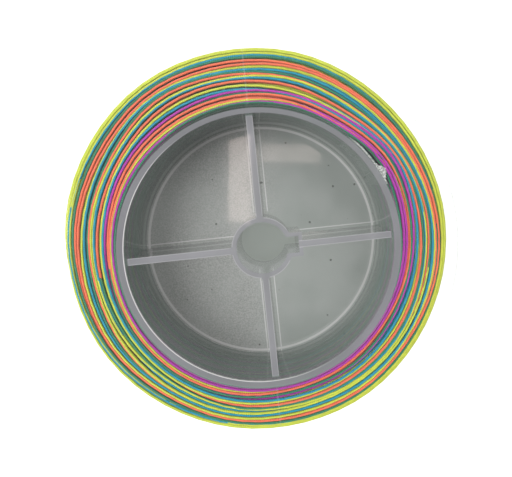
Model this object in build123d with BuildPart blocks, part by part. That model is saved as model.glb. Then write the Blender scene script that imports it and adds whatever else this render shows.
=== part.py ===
from build123d import *
import os
from math import cos, radians, sin, tan

# A clear moulded spool wound with braided kite line. Millimetres, +Z up.
# The spool stands on its closed back face. The origin is on the bore's axis in that face,
# and the drum opens upwards. The keyway and one rib point near +X.

# The spool: two flanges on a drum that is open at the front and closed by a web at the back.
flange_radius = 53.2
flange_thickness = 1.5
line_space = 18.0  # between the flanges, where the line lies
rim_raise = 0.6  # the drum's open end stands proud of the front flange
drum_radius = 37.3
drum_wall = 2.2
web_thickness = 1.8
web_corner_radius = 1.2  # inside the drum, where its wall meets the web
edge_radius = 0.4  # the flanges' outer edges
rim_radius = 0.3  # the drum's open end

# The hub and its four ribs, which end below the rim.
hub_drop = 1.5
bore_radius = 6.8
hub_wall = 1.3
rib_thickness = 1.8  # at the top; a rib grows towards the web by its draft
rib_draft = 0.6  # degrees
rib_count = 4
rib_angle = 6.2  # degrees from +X to the first rib
keyway_width = 4.4
keyway_reach = 9.7  # from the axis to the slot's end
keyway_wall = 1.0

# The mould's side slides leave a fine ridge where they meet, in line with two of the ribs.
ridge_width = 0.25
ridge_height = 0.06

# The wound line: a ring between the flanges, thicker towards +Y than towards -Y.
winding_radius = 51.2
winding_centre = (-0.1, 1.5)
winding_clearance = 0.1

# A piece of clear tape on the drum holds the line's inner end. One end of it is folded up.
tape_from = 28.0  # degrees from +X
tape_to = 52.0
tape_thickness = 0.4
fold_angle = 33.0
fold_width = 2.6
fold_height = 1.6
fold_length = 9.0  # down the drum, from the front flange

front_flange_z = flange_thickness + line_space
flange_top = front_flange_z + flange_thickness
height = flange_top + rim_raise
hub_top = height - hub_drop
drum_inside = drum_radius - drum_wall
hub_radius = bore_radius + hub_wall


def at_angle(radius, degrees):
    return (radius * cos(radians(degrees)), radius * sin(radians(degrees)))


# The spool is one moulding: the revolved shell first, then what stands inside it.
with BuildPart() as spool:
    with BuildSketch(Plane.XZ):
        with BuildLine():
            Polyline(
                (0, 0),
                (flange_radius, 0),
                (flange_radius, flange_thickness),
                (drum_radius, flange_thickness),
                (drum_radius, front_flange_z),
                (flange_radius, front_flange_z),
                (flange_radius, flange_top),
                (drum_radius, flange_top),
                (drum_radius, height),
                (drum_inside, height),
                (drum_inside, web_thickness),
                (0, web_thickness),
                close=True,
            )
        shell = make_face()
        corners = shell.vertices()
        fillet([v for v in corners if abs(v.X - flange_radius) < 0.01], edge_radius)
        fillet([v for v in corners if abs(v.Z - height) < 0.01], rim_radius)
        inner_corner = [
            v for v in corners if abs(v.X - drum_inside) < 0.01 and v.Z < height / 2
        ]
        fillet(inner_corner, web_corner_radius)
    revolve(axis=Axis.Z)

    # The ribs narrow upwards and run from the hub into the drum's wall.
    rib_height = hub_top - web_thickness
    rib_foot = rib_thickness + 2 * rib_height * tan(radians(rib_draft))
    rib_length = drum_inside - bore_radius
    with BuildSketch(Plane.XY.offset(web_thickness)):
        with PolarLocations(
            bore_radius + rib_length / 2 + 0.3, rib_count, start_angle=rib_angle
        ):
            Rectangle(rib_length, rib_foot)
    extrude(amount=rib_height, taper=rib_draft)

    with BuildSketch(Plane.XY.offset(web_thickness)):
        Circle(hub_radius)
        with Locations(Rotation(0, 0, rib_angle)):
            with Locations(((keyway_reach + keyway_wall) / 2, 0)):
                Rectangle(keyway_reach + keyway_wall, keyway_width + 2 * keyway_wall)
    extrude(amount=rib_height)

    # The bore and its keyway go right through.
    with BuildSketch():
        Circle(bore_radius)
        with Locations(Rotation(0, 0, rib_angle)):
            with Locations((keyway_reach / 2, 0)):
                Rectangle(keyway_reach, keyway_width)
    extrude(amount=height, mode=Mode.SUBTRACT)

    # The slides' fine ridges on the flanges' inner faces.
    ridge_start = drum_radius - drum_wall / 2
    ridge_length = flange_radius - 2 * edge_radius - ridge_start
    for z in (flange_thickness, front_flange_z - ridge_height):
        with BuildSketch(Plane.XY.offset(z)):
            with PolarLocations(
                ridge_start + ridge_length / 2, 2, start_angle=rib_angle + 90
            ):
                Rectangle(ridge_length, ridge_width)
        extrude(amount=ridge_height)
spool.part.label = "spool"

# The tape lies on the drum under the first turns, with its folded end near the front flange.
tape_bottom = flange_thickness + winding_clearance
tape_top = front_flange_z - winding_clearance


def tape_shape(grow):
    """The tape's outline seen along the axis, a little larger all round for the room it takes."""
    low, high = tape_from - grow, tape_to + grow
    outer = drum_radius + tape_thickness + grow / 4
    middle = (tape_from + tape_to) / 2
    with BuildSketch() as outline:
        with BuildLine():
            ThreePointArc(
                at_angle(drum_radius, low),
                at_angle(drum_radius, middle),
                at_angle(drum_radius, high),
            )
            Line(at_angle(drum_radius, high), at_angle(outer, high))
            ThreePointArc(
                at_angle(outer, high), at_angle(outer, middle), at_angle(outer, low)
            )
            Line(at_angle(outer, low), at_angle(drum_radius, low))
        make_face()
    return outline.sketch


def fold_shape(grow):
    """The folded end's outline: a small rounded ridge that stands on the tape."""
    with BuildSketch() as outline:
        with Locations(Rotation(0, 0, fold_angle)):
            with Locations((drum_radius + fold_height / 2, 0)):
                RectangleRounded(fold_height + 2 * grow, fold_width + 2 * grow, 0.5)
    return outline.sketch


with BuildPart() as anchor_tape:
    with BuildSketch(Plane.XY.offset(tape_bottom)):
        add(tape_shape(0))
    extrude(amount=tape_top - tape_bottom)
    with BuildSketch(Plane.XY.offset(tape_top - fold_length)):
        add(fold_shape(0))
    extrude(amount=fold_length)
    with BuildSketch(Plane.XY.offset(tape_bottom)):
        Circle(drum_radius)
    extrude(amount=tape_top - tape_bottom, mode=Mode.SUBTRACT)
anchor_tape.part.label = "anchor_tape"

# The whole winding as one ring, with room for the tape inside it.
with BuildPart() as line_winding:
    with BuildSketch(Plane.XY.offset(tape_bottom)):
        with Locations(winding_centre):
            Circle(winding_radius)
        Circle(drum_radius + winding_clearance, mode=Mode.SUBTRACT)
    extrude(amount=tape_top - tape_bottom)
    with BuildSketch(Plane.XY.offset(tape_bottom)):
        add(tape_shape(1))
    extrude(amount=tape_top - tape_bottom, mode=Mode.SUBTRACT)
    with BuildSketch(Plane.XY.offset(tape_top - fold_length - winding_clearance)):
        add(fold_shape(winding_clearance))
    extrude(amount=fold_length + winding_clearance, mode=Mode.SUBTRACT)
line_winding.part.label = "line_winding"

os.makedirs("parts", exist_ok=True)
export_step(spool.part, "parts/spool.step")
export_step(anchor_tape.part, "parts/anchor_tape.step")
export_step(line_winding.part, "parts/line_winding.step")
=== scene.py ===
import math

import bpy
import numpy as np
from mathutils import Matrix, Vector, noise


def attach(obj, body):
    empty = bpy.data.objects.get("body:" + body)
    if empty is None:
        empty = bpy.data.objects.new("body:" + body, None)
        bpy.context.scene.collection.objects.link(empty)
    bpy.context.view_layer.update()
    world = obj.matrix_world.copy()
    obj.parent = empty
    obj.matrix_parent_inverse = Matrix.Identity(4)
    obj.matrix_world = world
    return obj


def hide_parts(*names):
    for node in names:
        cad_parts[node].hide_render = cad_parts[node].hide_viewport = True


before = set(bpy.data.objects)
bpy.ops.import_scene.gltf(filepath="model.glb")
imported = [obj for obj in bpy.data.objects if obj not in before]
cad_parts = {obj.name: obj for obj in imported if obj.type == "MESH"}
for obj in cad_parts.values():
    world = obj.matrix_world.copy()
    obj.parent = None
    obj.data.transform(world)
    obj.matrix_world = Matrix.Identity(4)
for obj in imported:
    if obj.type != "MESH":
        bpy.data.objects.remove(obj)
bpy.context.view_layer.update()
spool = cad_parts["spool"]
scene = bpy.context.scene
MM = 0.001
TURN = 2 * math.pi

# ---------------------------------------------------------------- the spool's sizes, in millimetres
DRUM = 37.3  # the drum's outer radius
DRUM_INSIDE = 35.1
FLANGE = 53.2  # the flanges' radius
HUB = 8.1  # the hub's radius
WEB_TOP = 1.8
FLANGE_FACE = 19.5  # the front flange's inner face
HUB_TOP = 20.1
RIM_TOP = 21.6
RIB_ANGLE = math.radians(6.2)
FOLD_ANGLE = math.radians(33)  # the folded end of the tape

# ---------------------------------------------------------------- the line's route, in millimetres
LINE = 0.8  # diameter
LINE_TOP = 19.0  # the line's centre where it touches the front flange
LINE_LOW = 2.0  # and the back flange
FIRST_RADIUS = DRUM + 0.1 + LINE / 2  # the line's centre in the first turns
WINDING = Vector((-0.1, 1.5))  # the winding's middle, off the spool's axis
WINDING_RADIUS = 51.2
TURN_POINTS = 16  # control points in each turn
FAR = 9  # turns, where there is no end to count them from
LAST_ROOM = 0.7  # left for the last turns, outside the rings

# The rings that the line makes at the front flange, from the drum outwards: dye, the angle where
# the ring lies closest to the flange, for how much of a turn to each side it stays there, and how
# wide it looks beside the others. Past half a turn it lies beside itself on the far side.
RINGS = [
    ("green", 215, 0.22, 0.55),
    ("purple", 180, 0.62, 1.0),
    ("lime", 145, 0.10, 0.7),
    ("orange", 215, 0.30, 1.0),
    ("orange", 95, 0.03, 1.2),
    ("green", 330, 0.10, 0.6),
    ("purple", 60, 0.20, 1.4),
    ("blue", 250, 0.30, 1.3),
    ("lime", 200, 0.18, 1.0),
    ("orange", 40, 0.25, 1.1),
    ("green", 320, 0.12, 0.9),
    ("blue", 80, 0.28, 1.2),
    ("lime", 95, 0.60, 0.7),
    ("orange", 130, 0.15, 1.0),
    ("green", 130, 0.20, 0.9),
    ("blue", 220, 0.28, 1.2),
    ("lime", 275, 0.22, 1.4),
    ("orange", 265, 0.66, 0.9),
    ("green", 170, 0.30, 1.3),
    ("blue", 200, 0.12, 0.9),
    ("lime", 20, 0.50, 1.0),
]
BACK_DWELL = 0.05  # the same share of a turn to each side, at the back flange
START = math.radians(36)  # the line's inner end is in the folded end of the tape
LAST_TURNS = 7.9  # after the outermost ring's middle
# Each of the last turns: how far outside the outermost ring it lies, and how far below it.
LAST_OUT = [0.0, 0.72, -0.55, 0.36, 1.15, -1.2, -0.85, -0.2]
LAST_DROP = [0.0, 0.15, 0.65, 0.75, 0.6, 1.1, 1.9, 1.6]

DYES = ["green", "purple", "blue", "lime", "orange"]  # in the order they follow along the line
# Colours as they look, in sRGB.
DYE_COLOURS = {
    "green": (0.17, 0.49, 0.36),
    "purple": (0.70, 0.19, 0.66),
    "blue": (0.05, 0.57, 0.67),
    "lime": (0.78, 0.82, 0.26),
    "orange": (0.93, 0.45, 0.31),
}


def ring_angles():
    """The angle of each ring's middle, counted on from turn to turn along the line."""
    angles = [math.radians(RINGS[0][1])]
    for _, degrees, _, _ in RINGS[1:]:
        ahead = (math.radians(degrees) - angles[-1]) / TURN % 1
        # There and back across the width takes about ten turns.
        angles.append(angles[-1] + TURN * (ahead + (9 if ahead > 0.65 else 10)))
    return angles


def smooth(x, low, high):
    t = np.clip((x - low) / (high - low), 0, 1)
    return t * t * (3 - 2 * t)


def turned_off(angle, other):
    """How far one angle is from another, by the shorter way round."""
    return (angle - other + math.pi) % TURN - math.pi


def ring_share(angle):
    """How much of the width each ring takes at this angle: less where it dips under the others."""
    shares = []
    for middle, (_, _, dwell, width) in zip(MIDDLES, RINGS):
        away = abs(turned_off(angle, middle)) / TURN
        way = Vector((1.8 * math.cos(angle), 1.8 * math.sin(angle), 2.7 * len(shares)))
        uneven = width * max(0.4, 1 + 1.5 * noise.noise(way))
        if dwell > 0.5:
            uneven += uneven * smooth(away, 0.95 - dwell, 1.05 - dwell)
        dipped = 0.4 * width
        shares.append(uneven + (dipped - uneven) * smooth(away, dwell + 0.03, dwell + 0.25))
    return np.array(shares)


def bump(angle, degrees, width):
    """1 at this many degrees round the winding, falling smoothly to 0 on both sides."""
    off = (math.degrees(angle) - degrees + 180) % 360 - 180
    return math.exp(-((off / width) ** 2))


def last_turn(values, after):
    """The value for a turn this many turns after the outermost ring's middle."""
    result = values[0]
    for number in range(1, len(values)):
        step = values[number] - values[number - 1]
        result = result + step * smooth(after, number - 0.6, number - 0.4)
    return result


def outer_radius(angle):
    """From the spool's axis to the outside of the winding, which isn't quite round."""
    way = Vector((math.cos(angle), math.sin(angle)))
    along = WINDING.dot(way)
    across = WINDING.length_squared - along * along
    uneven = 0.5 * bump(angle, 115, 28) - 0.9 * bump(angle, 44, 20) + 0.5 * bump(angle, 305, 35)
    return along + math.sqrt(WINDING_RADIUS**2 - across) + uneven - 0.2


MIDDLES = ring_angles()
ENDS = [MIDDLES[0]]  # the angles where the line turns back, at the front and the back by turns
for one, other in zip(MIDDLES, MIDDLES[1:]):
    ENDS += [(one + other) / 2, other]
DWELLS = []
for number in range(len(ENDS)):
    DWELLS.append(RINGS[number // 2][2] if number % 2 == 0 else BACK_DWELL)
LAST_END = len(ENDS) - 1


def away_speed(turns):
    """How fast the line leaves a flange this many turns after it stopped lying along it."""
    turns = np.maximum(turns, 0)
    return turns / np.sqrt(turns**2 + 0.3**2)


def route():
    """The angle and height of the line's control points, and the last end that each is past."""
    finish = ENDS[-1] + LAST_TURNS * TURN
    count = int((finish - START) / TURN * TURN_POINTS)
    angles = START + np.arange(count) * TURN / TURN_POINTS
    heights = np.full(count, LINE_TOP)
    layer = np.zeros(count, int)
    for number in range(LAST_END):
        inside = np.nonzero((angles >= ENDS[number]) & (angles < ENDS[number + 1]))[0]
        here = (angles[inside] - ENDS[number]) / TURN - DWELLS[number]
        there = (ENDS[number + 1] - angles[inside]) / TURN - DWELLS[number + 1]
        travelled = np.cumsum(away_speed(here) * away_speed(there))
        travelled /= travelled[-1]
        if number % 2:
            travelled = 1 - travelled
        heights[inside] = LINE_TOP - (LINE_TOP - LINE_LOW) * travelled
        layer[inside] = number
    last = angles >= ENDS[-1]
    heights[last] = LINE_TOP - last_turn(LAST_DROP, (angles[last] - ENDS[-1]) / TURN)
    layer[last] = LAST_END
    return angles, heights, layer


def lift(turns):
    """How far the line rises over one layer, or dips under the next, in two waves a turn.

    It starts once the line has left the flange."""
    return LINE / 4 * float(smooth(turns, 0.1, 0.4)) * (0.5 + 0.5 * math.cos(2 * TURN * turns))


def radii(angles, heights, layer):
    """Each control point's distance from the spool's axis."""
    result = []
    for angle, z, number in zip(angles, heights, layer):
        since = (angle - ENDS[number]) / TURN if angle >= ENDS[0] else FAR
        left = (ENDS[number + 1] - angle) / TURN if number < LAST_END else FAR
        nearer, gone = (number, since) if since < left else (number + 1, -left)
        if angle < ENDS[0]:
            nearer, gone = 0, -FAR
        step = nearer + float(smooth(gone, -0.25, 0.25)) - 0.5

        # By the front flange the rings share the width out, and below it the layers are even.
        shares = ring_share(angle)
        ring = min(int(round(step / 2)), len(RINGS) - 1)
        front = (shares[:ring].sum() + 0.5 * shares[ring]) / shares.sum()
        deep = (step + 0.5) / len(ENDS)
        near = math.exp(-(((LINE_TOP - z) / 2.0) ** 2))
        fraction = near * front + (1 - near) * min(deep, 1)

        # The first turns go over the tape and its fold.
        fold = math.exp(-((turned_off(angle, FOLD_ANGLE) / 0.10) ** 2))
        inner = FIRST_RADIUS + 0.06 + 1.6 * fold * float(smooth(z, 8, 11))
        inner += 0.3 * (1 - float(smooth(abs(math.degrees(angle % TURN) - 40), 11, 15)))
        bulge = 0.4 * float(smooth(deep, 0.86, 1.0)) * (1 - near)
        outer = outer_radius(angle) - LINE / 2 - LAST_ROOM + bulge

        # The rings wander a little, and each slants outwards as it goes past its middle.
        loose = 0.15 + (0.45 * near if 3 < number < LAST_END else 0)
        wobble = loose * noise.noise(Vector((angle * 0.9, 3.1, 0.7)))
        wobble += 0.74 * near * max(-0.7, min(gone, 0.7)) if 0 < number < LAST_END else 0
        rise = lift(since)
        if number == LAST_END:
            fraction, rise = front, 0
            wobble += float(last_turn(LAST_OUT, since))
        result.append(inner + fraction * (outer - inner) + rise - lift(left) + wobble)
    return np.array(result)


def line_route():
    """The line's control points in metres."""
    angles, heights, layer = route()
    # The spline runs this much inside its control points.
    away = radii(angles, heights, layer) / (0.75 + 0.25 * math.cos(TURN / TURN_POINTS))
    sink = np.array([0.12 * abs(noise.noise(Vector((a * 0.7, 9.2, 1.3)))) for a in angles])
    return np.column_stack([away * np.cos(angles), away * np.sin(angles), heights - sink]) * MM


def smooth_line(points):
    """The points along a NURBS spline with these control points."""
    curve = bpy.data.curves.new("line_route", "CURVE")
    curve.dimensions = "3D"
    curve.resolution_u = 4
    spline = curve.splines.new("NURBS")
    spline.points.add(len(points) - 1)
    spline.points.foreach_set("co", np.column_stack([points, np.ones(len(points))]).ravel())
    spline.order_u = 3
    spline.use_endpoint_u = True
    holder = bpy.data.objects.new("line_route", curve)
    scene.collection.objects.link(holder)
    bpy.context.view_layer.update()
    evaluated = holder.evaluated_get(bpy.context.evaluated_depsgraph_get())
    mesh = bpy.data.meshes.new_from_object(evaluated)
    found = np.zeros(len(mesh.vertices) * 3)
    mesh.vertices.foreach_get("co", found)
    bpy.data.objects.remove(holder)
    bpy.data.meshes.remove(mesh)
    return found.reshape(-1, 3)


def linear(colour):
    """An sRGB colour as the shaders take it."""
    return [c / 12.92 if c <= 0.04045 else ((c + 0.055) / 1.055) ** 2.4 for c in colour]


def dye_along(turned):
    """The dye's number at each angle along the line. It changes out of sight between rings."""
    names = [DYES.index(dye) for dye, _, _, _ in RINGS]
    marks, colours = [], [names[0]]
    for number in range(len(names) - 1):
        steps = (names[number + 1] - names[number]) % len(DYES)
        for step in range(steps):
            share = 0.30 + 0.40 * (step + 0.5) / steps
            marks.append(MIDDLES[number] + share * (MIDDLES[number + 1] - MIDDLES[number]))
            colours.append((names[number] + step + 1) % len(DYES))
    return np.array(colours)[np.searchsorted(marks, turned)]


def tube(name, centre, half_out, half_up, sides):
    """A tube of oval section along the centre line, and each point's distance along it.

    Its UV map gives metres along and turns around."""
    count = len(centre)
    ahead = np.gradient(centre, axis=0)
    ahead /= np.linalg.norm(ahead, axis=1)[:, None]
    out = centre * [1, 1, 0]
    out -= (out * ahead).sum(1)[:, None] * ahead
    out /= np.linalg.norm(out, axis=1)[:, None]
    up = np.cross(out, ahead)
    around = np.arange(sides) / sides
    ring = (
        np.cos(TURN * around)[None, :, None] * out[:, None] * half_out
        + np.sin(TURN * around)[None, :, None] * up[:, None] * half_up
    )
    vertices = (centre[:, None] + ring).reshape(-1, 3)
    first = np.arange(count - 1)[:, None] * sides
    here, following = np.arange(sides), (np.arange(sides) + 1) % sides
    quads = np.stack(
        [first + here, first + following, first + sides + following, first + sides + here], -1
    ).reshape(-1, 4)
    caps = [list(range(sides))[::-1], list(range((count - 1) * sides, count * sides))]
    mesh = bpy.data.meshes.new(name)
    mesh.from_pydata(vertices.tolist(), [], quads.tolist() + caps)
    mesh.shade_smooth()
    along = np.concatenate([[0], np.cumsum(np.linalg.norm(np.diff(centre, axis=0), axis=1))])
    start = np.repeat(along[:-1], sides)
    end = np.repeat(along[1:], sides)
    low = np.tile(here, count - 1) / sides
    high = low + 1 / sides
    uv = np.stack([start, low, start, high, end, high, end, low], -1).reshape(-1, 2)
    uv = np.vstack([uv, np.zeros((2 * sides, 2))])
    mesh.uv_layers.new(name="along").data.foreach_set("uv", uv.ravel())
    piece = bpy.data.objects.new(name, mesh)
    scene.collection.objects.link(piece)
    return piece, along


# ---------------------------------------------------------------- shader helpers
class Shader:
    """A material's nodes, made by short calls."""

    def __init__(self, name):
        self.material = bpy.data.materials.new(name)
        self.material.use_nodes = True
        self.nodes = self.material.node_tree.nodes
        self.links = self.material.node_tree.links
        self.principled = self.nodes["Principled BSDF"]

    def set(self, **values):
        for name, value in values.items():
            self.principled.inputs[name.replace("_", " ")].default_value = value

    def drive(self, name, value):
        self.links.new(value, self.principled.inputs[name])

    def feed(self, node, index, value):
        if isinstance(value, bpy.types.NodeSocket):
            self.links.new(value, node.inputs[index])
        else:
            node.inputs[index].default_value = value

    def math(self, operation, *values):
        node = self.nodes.new("ShaderNodeMath")
        node.operation = operation
        for index, value in enumerate(values):
            self.feed(node, index, value)
        return node.outputs[0]

    def times(self, first, *others):
        for other in others:
            first = self.math("MULTIPLY", first, other)
        return first

    def highest(self, first, *others):
        for other in others:
            first = self.math("MAXIMUM", first, other)
        return first

    def rest(self, value):
        """What is left of 1."""
        return self.math("SUBTRACT", 1.0, value)

    def place(self):
        """The place in millimetres, as a vector and as x, y and z."""
        scaled = self.scaled(self.nodes.new("ShaderNodeTexCoord").outputs["Object"], 1000)
        split = self.nodes.new("ShaderNodeSeparateXYZ")
        self.links.new(scaled, split.inputs[0])
        return scaled, split.outputs

    def scaled(self, vector, scale):
        node = self.nodes.new("ShaderNodeVectorMath")
        node.operation = "SCALE"
        self.links.new(vector, node.inputs[0])
        self.feed(node, "Scale", scale)
        return node.outputs[0]

    def from_axis(self, x, y):
        return self.math("SQRT", self.math("ADD", self.times(x, x), self.times(y, y)))

    def ramp(self, value, low, high):
        """From 0 to 1 between low and high, smoothly."""
        node = self.nodes.new("ShaderNodeMapRange")
        node.interpolation_type = "SMOOTHSTEP"
        for index, item in enumerate((value, low, high, 0.0, 1.0)):
            self.feed(node, index, item)
        return node.outputs[0]

    def noise(self, vector, scale, detail=2.0, rough=0.5, stretch=None):
        node = self.nodes.new("ShaderNodeTexNoise")
        if stretch:
            longer = self.nodes.new("ShaderNodeVectorMath")
            longer.operation = "MULTIPLY"
            self.links.new(vector, longer.inputs[0])
            longer.inputs[1].default_value = stretch
            vector = longer.outputs[0]
        self.links.new(vector, node.inputs["Vector"])
        node.inputs["Scale"].default_value = scale
        node.inputs["Detail"].default_value = detail
        node.inputs["Roughness"].default_value = rough
        return node.outputs["Fac"]

    def blend(self, factor, first, second):
        """A colour that goes from first to second."""
        node = self.nodes.new("ShaderNodeMix")
        node.data_type = "RGBA"
        self.feed(node, 0, factor)
        for index, colour in ((6, first), (7, second)):
            if not isinstance(colour, bpy.types.NodeSocket):
                colour = (*linear(colour), 1)
            self.feed(node, index, colour)
        return node.outputs[2]

    def choose(self, factor, first, second):
        """A number that goes from first to second."""
        node = self.nodes.new("ShaderNodeMix")
        node.data_type = "FLOAT"
        for index, value in ((0, factor), (2, first), (3, second)):
            self.feed(node, index, value)
        return node.outputs[0]

    def bump(self, height, distance, strength=1.0):
        node = self.nodes.new("ShaderNodeBump")
        node.inputs["Strength"].default_value = strength
        node.inputs["Distance"].default_value = distance
        self.links.new(height, node.inputs["Height"])
        self.drive("Normal", node.outputs[0])

    def outside(self):
        """1 where a surface is seen from outside the moulding, and 0 where from inside."""
        return self.rest(self.nodes.new("ShaderNodeNewGeometry").outputs["Backfacing"])

    def gloss(self, roughness):
        """A see-through surface's gloss, which its Alpha would take away."""
        fresnel = self.nodes.new("ShaderNodeFresnel")
        fresnel.inputs["IOR"].default_value = 1.45
        mirror = self.nodes.new("ShaderNodeBsdfGlossy")
        mirror.inputs["Roughness"].default_value = roughness
        mix = self.nodes.new("ShaderNodeMixShader")
        self.links.new(self.times(fresnel.outputs[0], self.outside()), mix.inputs[0])
        self.links.new(self.principled.outputs[0], mix.inputs[1])
        self.links.new(mirror.outputs[0], mix.inputs[2])
        self.links.new(mix.outputs[0], self.nodes["Material Output"].inputs["Surface"])


# ---------------------------------------------------------------- the wound line
SIDES = 6
HALF_OUT, HALF_UP = 0.00037, 0.0004  # metres: the line's section is pressed a little flat
PLAIT = 0.0011  # metres along the line that one repeat of its plait takes

centre_line = smooth_line(line_route())
line, along = tube("wound_line", centre_line, HALF_OUT, HALF_UP, SIDES)
turned = np.unwrap(np.arctan2(centre_line[:, 1], centre_line[:, 0]))
turned += START - turned[0]
palette = np.array([linear(DYE_COLOURS[name]) + [1.0] for name in DYES])
point_colours = np.repeat(palette[dye_along(turned)], SIDES, axis=0)
dye = line.data.color_attributes.new("dye", "FLOAT_COLOR", "POINT")
dye.data.foreach_set("color", point_colours.astype(np.float32).ravel())
print("line turns", (turned[-1] - turned[0]) / TURN, "length", along[-1])

braid = Shader("braided_line")
dyed = braid.nodes.new("ShaderNodeAttribute")
dyed.attribute_name = "dye"
uv = braid.nodes.new("ShaderNodeUVMap")
uv.uv_map = "along"
parts = braid.nodes.new("ShaderNodeSeparateXYZ")
braid.links.new(uv.outputs[0], parts.inputs[0])
lengthwise = braid.times(parts.outputs[0], TURN / PLAIT)
roundwise = braid.times(parts.outputs[1], 2 * TURN)
plait = braid.times(
    braid.math("SINE", braid.math("ADD", lengthwise, roundwise)),
    braid.math("SINE", braid.math("SUBTRACT", lengthwise, roundwise)),
)
spot, _ = braid.place()
fuzz = braid.noise(spot, 0.5, 3.0)
shade = braid.math("ADD", braid.times(plait, 0.10), braid.math("MULTIPLY_ADD", fuzz, 0.35, 0.78))
braid.drive("Base Color", braid.scaled(dyed.outputs["Color"], shade))
braid.drive("Roughness", braid.math("MULTIPLY_ADD", plait, -0.08, 0.55))
braid.set(Specular_IOR_Level=0.35, Sheen_Weight=0.25, Sheen_Roughness=0.4)
braid.bump(plait, 0.00006)
line.data.materials.append(braid.material)
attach(line, "root")
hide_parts("line_winding")

# ---------------------------------------------------------------- the clear spool
clear = Shader("clear_plastic")
spot, (x, y, z) = clear.place()
from_axis = clear.from_axis(x, y)


def across(angle):
    """The distance from the vertical plane through the axis at this angle."""
    one = clear.times(x, math.sin(angle))
    two = clear.times(y, -math.cos(angle))
    return clear.math("ABSOLUTE", clear.math("ADD", one, two))


def towards(degrees):
    """From -1 to 1: how far round the axis a point lies towards this angle."""
    one = clear.times(x, math.cos(math.radians(degrees)))
    two = clear.times(y, math.sin(math.radians(degrees)))
    return clear.math("DIVIDE", clear.math("ADD", one, two), from_axis)


def band(value, middle, width):
    """1 on a thin line at this value, and 0 away from it."""
    off = clear.math("ABSOLUTE", clear.math("SUBTRACT", value, middle))
    return clear.rest(clear.ramp(off, width * 0.4, width))


# The parts of the moulding: each is 1 there and 0 elsewhere.
flange = clear.ramp(from_axis, DRUM + 0.02, DRUM + 0.3)
flange_edge = clear.ramp(from_axis, FLANGE - 0.7, FLANGE - 0.2)
flange_side = clear.ramp(from_axis, FLANGE - 0.08, FLANGE - 0.02)
drum_wall = clear.ramp(from_axis, DRUM_INSIDE - 0.9, DRUM_INSIDE - 0.1)
web = clear.rest(clear.ramp(z, WEB_TOP + 0.1, WEB_TOP + 0.4))
under = clear.rest(clear.ramp(z, 0.5, 1.0))
tops = clear.times(clear.ramp(z, HUB_TOP - 0.3, HUB_TOP - 0.05), clear.rest(drum_wall))

# The rim is clearer towards its outside, where the first turns show through it, most at +Y.
rim_place = clear.math("MULTIPLY_ADD", clear.ramp(towards(90), 0.2, 1.0), 0.5, from_axis)
rim_outer = clear.ramp(rim_place, DRUM - 0.5, DRUM - 0.2)
rim = clear.times(clear.ramp(z, RIM_TOP - 0.7, RIM_TOP - 0.4), drum_wall, clear.rest(rim_outer))
rim_side = clear.times(rim_outer, clear.ramp(z, FLANGE_FACE - 0.1, FLANGE_FACE + 0.1))

# Painted highlights: a lighter colour where the moulding turns, on the rim's inner edge (only on
# the side towards 215 degrees), where the web meets the wall, where the ribs meet the web, and on
# the hub's and ribs' top edges.
rib_plane = clear.math("MINIMUM", across(RIB_ANGLE), across(RIB_ANGLE + math.pi / 2))
lip_highlight = clear.times(
    band(from_axis, DRUM_INSIDE + 0.1, 0.14),
    clear.ramp(z, RIM_TOP - 0.7, RIM_TOP - 0.3),
    clear.ramp(towards(215), -0.1, 0.7),
)
corner_highlight = clear.times(
    band(from_axis, DRUM_INSIDE - 0.8, 0.5),
    clear.rest(clear.ramp(z, WEB_TOP + 0.8, WEB_TOP + 1.6)),
)
foot_highlight = clear.times(
    band(rib_plane, 2.1, 0.24),
    web,
    clear.ramp(from_axis, HUB + 0.4, HUB + 1.4),
)
hub_edge_highlight = clear.times(
    band(from_axis, HUB - 0.1, 0.20),
    tops,
    clear.rest(clear.ramp(towards(math.degrees(RIB_ANGLE)), 0.84, 0.88)),  # not over the keyway
    clear.ramp(rib_plane, 0.9, 1.2),
)
rib_edge_highlight = clear.times(
    band(rib_plane, 0.85, 0.2),
    clear.times(tops, clear.ramp(from_axis, HUB - 0.1, HUB + 0.9)),
)
painted_highlight = clear.highest(
    lip_highlight,
    clear.times(corner_highlight, 0.55),
    clear.times(foot_highlight, 0.45),
    clear.times(clear.highest(hub_edge_highlight, rib_edge_highlight), 0.22),
)

# The fine ridges where the mould's side slides met, seen on the front flange.
seam = clear.times(
    clear.rest(clear.ramp(across(RIB_ANGLE + math.pi / 2), 0.10, 0.20)),
    flange,
    clear.ramp(z, FLANGE_FACE - 0.2, FLANGE_FACE - 0.1),
)

# The web is frosted on the -X side and hazy in patches, with specks of dust on it.
mottle = clear.noise(spot, 2.6, 4.0, 0.7)
cloud = clear.noise(spot, 0.06)
frosted = clear.blend(clear.ramp(mottle, 0.30, 0.70), (0.54, 0.55, 0.54), (0.70, 0.70, 0.69))
web_colour = clear.blend(clear.ramp(x, -5.0, 9.0), frosted, (0.58, 0.60, 0.585))
hazy = clear.blend(0.35, web_colour, (0.70, 0.71, 0.70))
web_colour = clear.blend(clear.ramp(cloud, 0.35, 0.65), web_colour, hazy)
dust = clear.nodes.new("ShaderNodeTexVoronoi")
dust.voronoi_dimensions = "2D"
dust.inputs["Scale"].default_value = 0.14
clear.links.new(spot, dust.inputs["Vector"])
grain = clear.nodes.new("ShaderNodeSeparateXYZ")
clear.links.new(dust.outputs["Color"], grain.inputs[0])
speck_size = clear.times(clear.ramp(grain.outputs[0], 0.5, 0.98), 0.05)
speck = clear.math("LESS_THAN", dust.outputs["Distance"], speck_size)
web_colour = clear.blend(clear.times(speck, 0.7), web_colour, (0.16, 0.15, 0.12))

# The drum wall's dark green-grey is partly the green line seen through the clear wall and partly
# painted shade, for the line's inner turns that lie in shade behind it. The streak noise varies it
# at random.
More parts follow.
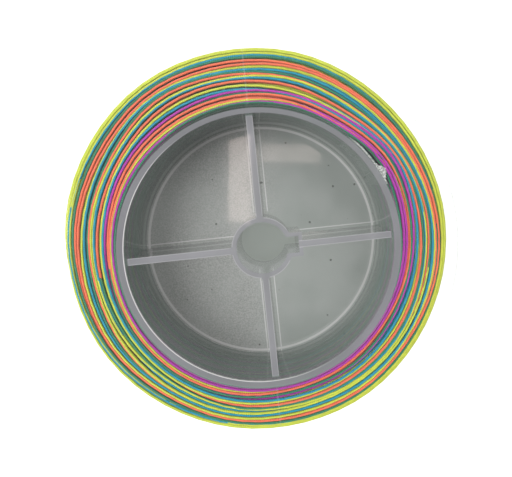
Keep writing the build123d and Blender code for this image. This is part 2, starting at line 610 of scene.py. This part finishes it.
streak = clear.noise(spot, 1.0, 3.0, 0.6, stretch=(0.05, 0.05, 1.6))
shaded_wall_colour = clear.blend(streak, (0.30, 0.34, 0.32), (0.54, 0.58, 0.56))
top_colour = clear.blend(cloud, (0.47, 0.47, 0.48), (0.57, 0.57, 0.59))
rib_colour = (0.82, 0.83, 0.84)
colour = clear.blend(drum_wall, rib_colour, shaded_wall_colour)
colour = clear.blend(web, colour, web_colour)
colour = clear.blend(clear.highest(rim, tops), colour, top_colour)
# The painted highlights are near white.
colour = clear.blend(painted_highlight, colour, (0.86, 0.85, 0.85))
pale = clear.highest(seam, flange_edge)
flange_colour = clear.blend(pale, (0.45, 0.47, 0.46), (0.93, 0.94, 0.94))
flange_colour = clear.blend(flange_side, flange_colour, (0.45, 0.50, 0.49))
clear.drive("Base Color", clear.blend(flange, colour, flange_colour))

# How much each part hides of what is behind it.
alpha = clear.choose(drum_wall, 0.20, 0.62)
for part, hides in (
    (web, 0.60),
    (under, 0.20),
    (tops, 0.80),
    (rim, 0.72),
    # the painted highlights hide most of what is behind them
    (painted_highlight, 0.85),
    (rim_side, 0.12),
):
    alpha = clear.choose(part, alpha, hides)
flange_alpha = clear.choose(flange_edge, 0.03, 0.22)
flange_alpha = clear.choose(seam, flange_alpha, 0.07)
flange_alpha = clear.choose(clear.times(flange_side, clear.outside()), flange_alpha, 0.50)
clear.drive("Alpha", clear.choose(flange, alpha, flange_alpha))

rough = clear.math("MULTIPLY_ADD", mottle, 0.08, 0.02)
clear.drive("Roughness", clear.choose(flange, rough, 0.06))
ripple = clear.math("MULTIPLY_ADD", clear.noise(spot, 0.25), 14.0, mottle)
clear.bump(clear.times(ripple, web), 0.000006, 0.7)
clear.set(Specular_IOR_Level=0.2)
clear.gloss(0.05)
spool.data.materials.clear()
spool.data.materials.append(clear.material)
spool.visible_shadow = False  # the lamps light the table and the line through the plastic

# ---------------------------------------------------------------- the tape
TAPE_FROM, TAPE_TO = math.radians(27.5), math.radians(52)
TAPE_LOW, TAPE_TOP = 1.7, 19.35
TAPE_INSIDE = DRUM + 0.03


def tape_thickness(angle, z):
    """The film's thickness in millimetres: crumpled, gathered near its top, folded at one end."""
    crumple = noise.noise(Vector((angle * 90, z * 0.9, 4.2)))
    fold = math.exp(-(((angle - FOLD_ANGLE) / 0.040) ** 2)) * float(smooth(z, 10, 13))
    lumps = 1 + 0.35 * noise.noise(Vector((angle * 160, z * 1.5, 8.8)))
    edge = float(smooth(z, 15, 19) * (1 - smooth(angle, 0.80, TAPE_TO)))
    return 0.16 + 0.10 * abs(crumple) + 0.35 * edge + 1.5 * fold * lumps


def make_tape():
    """A crumpled film on the drum: a closed skin, with its outer side and top edge ragged."""
    steps, top = 96, 40
    vertices, faces = [], []
    for i in range(steps + 1):
        angle = TAPE_FROM + (TAPE_TO - TAPE_FROM) * i / steps
        ragged = 0.5 * abs(noise.noise(Vector((angle * 60, 0.4, 1.7))))
        for j in range(top + 1):
            z = TAPE_LOW + (TAPE_TOP - ragged - TAPE_LOW) * j / top
            for away in (TAPE_INSIDE, TAPE_INSIDE + tape_thickness(angle, z)):
                vertices.append((away * math.cos(angle), away * math.sin(angle), z))
    row = 2 * (top + 1)

    def at(i, j, side):
        return i * row + 2 * j + side

    for i in range(steps):
        for j in range(top):
            faces.append((at(i, j, 1), at(i + 1, j, 1), at(i + 1, j + 1, 1), at(i, j + 1, 1)))
            faces.append((at(i, j, 0), at(i, j + 1, 0), at(i + 1, j + 1, 0), at(i + 1, j, 0)))
        faces.append((at(i, top, 1), at(i + 1, top, 1), at(i + 1, top, 0), at(i, top, 0)))
        faces.append((at(i, 0, 0), at(i + 1, 0, 0), at(i + 1, 0, 1), at(i, 0, 1)))
    for j in range(top):
        faces.append((at(0, j, 0), at(0, j, 1), at(0, j + 1, 1), at(0, j + 1, 0)))
        faces.append((at(steps, j, 1), at(steps, j, 0), at(steps, j + 1, 0), at(steps, j + 1, 1)))
    mesh = bpy.data.meshes.new("tape")
    mesh.from_pydata((np.array(vertices) * MM).tolist(), [], faces)
    mesh.shade_smooth()
    mesh.set_sharp_from_angle(angle=math.radians(50))
    piece = bpy.data.objects.new("tape", mesh)
    scene.collection.objects.link(piece)
    return piece


tape = make_tape()
film = Shader("clear_tape")
spot, _ = film.place()
crease = film.noise(spot, 1.6, 5.0, 0.75)
film_colour = film.blend(film.ramp(crease, 0.35, 0.65), (0.62, 0.64, 0.62), (0.95, 0.95, 0.94))
film.drive("Base Color", film_colour)
film.drive("Alpha", film.math("MULTIPLY_ADD", crease, 0.5, 0.45))
film.drive("Roughness", film.math("MULTIPLY_ADD", crease, 0.3, 0.15))
film.bump(crease, 0.0002)
tape.data.materials.append(film.material)
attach(tape, "root")
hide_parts("anchor_tape")

# ---------------------------------------------------------------- stage, lights and camera
FLOOR_HALF = 1.5
floor = bpy.data.objects.new("floor", bpy.data.meshes.new("floor"))
floor.data.from_pydata(
    [
        (-FLOOR_HALF, -FLOOR_HALF, 0),
        (FLOOR_HALF, -FLOOR_HALF, 0),
        (FLOOR_HALF, FLOOR_HALF, 0),
        (-FLOOR_HALF, FLOOR_HALF, 0),
    ],
    [],
    [(0, 1, 2, 3)],
)
floor.location.z = -0.0001
scene.collection.objects.link(floor)
paper = Shader("floor")
paper.set(Roughness=0.9, Emission_Color=(1, 1, 1, 1))
_, (floor_x, floor_y, _) = paper.place()
# A table's grey shows only through the drum. The floor around it is white.
open_floor = paper.ramp(paper.from_axis(floor_x, floor_y), 44.0, 45.0)
paper.drive("Base Color", paper.blend(open_floor, (0.53, 0.55, 0.53), (0.95, 0.95, 0.95)))
paper.drive("Emission Strength", paper.choose(open_floor, 0.0, 0.5))
floor.data.materials.append(paper.material)

scene.view_settings.view_transform = "Standard"

# The sky is brightest at the horizon.
world = bpy.data.worlds.new("studio")
scene.world = world
world.use_nodes = True
sky = world.node_tree
height = sky.nodes.new("ShaderNodeSeparateXYZ")
sky.links.new(sky.nodes.new("ShaderNodeTexCoord").outputs["Generated"], height.inputs[0])
fall = sky.nodes.new("ShaderNodeMapRange")
fall.interpolation_type = "SMOOTHSTEP"
sky.links.new(height.outputs["Z"], fall.inputs[0])
for name, value in (("From Min", 0.0), ("From Max", 0.95), ("To Min", 1.0), ("To Max", 0.40)):
    fall.inputs[name].default_value = value
sky.links.new(fall.outputs[0], sky.nodes["Background"].inputs["Strength"])
sky.nodes["Background"].inputs["Color"].default_value = (1, 1, 1, 1)


def soft_light(name, place, target, size, power, colour=(1, 1, 1)):
    light = bpy.data.lights.new(name, "AREA")
    light.shape = "RECTANGLE"
    light.size, light.size_y = size
    light.energy = power
    light.color = colour
    holder = bpy.data.objects.new(name, light)
    holder.location = place
    holder.rotation_euler = (Vector(target) - Vector(place)).to_track_quat("-Z", "Y").to_euler()
    scene.collection.objects.link(holder)
    return holder


soft_light("key", (-0.70, 0.05, 0.65), (0, 0, 0), (0.7, 0.7), 9)
soft_light("fill", (0.45, 0.45, 0.60), (0, 0, 0), (0.6, 0.6), 3)
# Two small bright things overhead show only as reflections in the web.
WARM = (1, 0.84, 0.78)
for place, size, power in (
    ((-0.065, 0.045, 0.80), (0.05, 0.19), 0.17),
    ((0.050, 0.105, 0.80), (0.13, 0.04), 0.06),
):
    glint = soft_light("glint", place, place[:2] + (0,), size, power, WARM)
    glint.visible_diffuse = False

# The camera stands close above the spool, a little towards +Y.
ROLL = -0.0103  # radians
camera = bpy.data.objects.new("camera", bpy.data.cameras.new("camera"))
scene.collection.objects.link(camera)
scene.camera = camera
camera.location = (0.00182, 0.01442, 0.12797)
ahead = (Vector((0.00997, 0.00994, 0.0216)) - camera.location).normalized()
right_way = ahead.cross(Vector((math.sin(ROLL), math.cos(ROLL), 0))).normalized()
upwards = right_way.cross(ahead)
camera.rotation_euler = Matrix((right_way, upwards, -ahead)).transposed().to_euler()
camera.data.sensor_width = 36
camera.data.lens = 28.78
camera.data.shift_x = -0.0879
camera.data.shift_y = -0.0540
camera.data.clip_start = 0.005
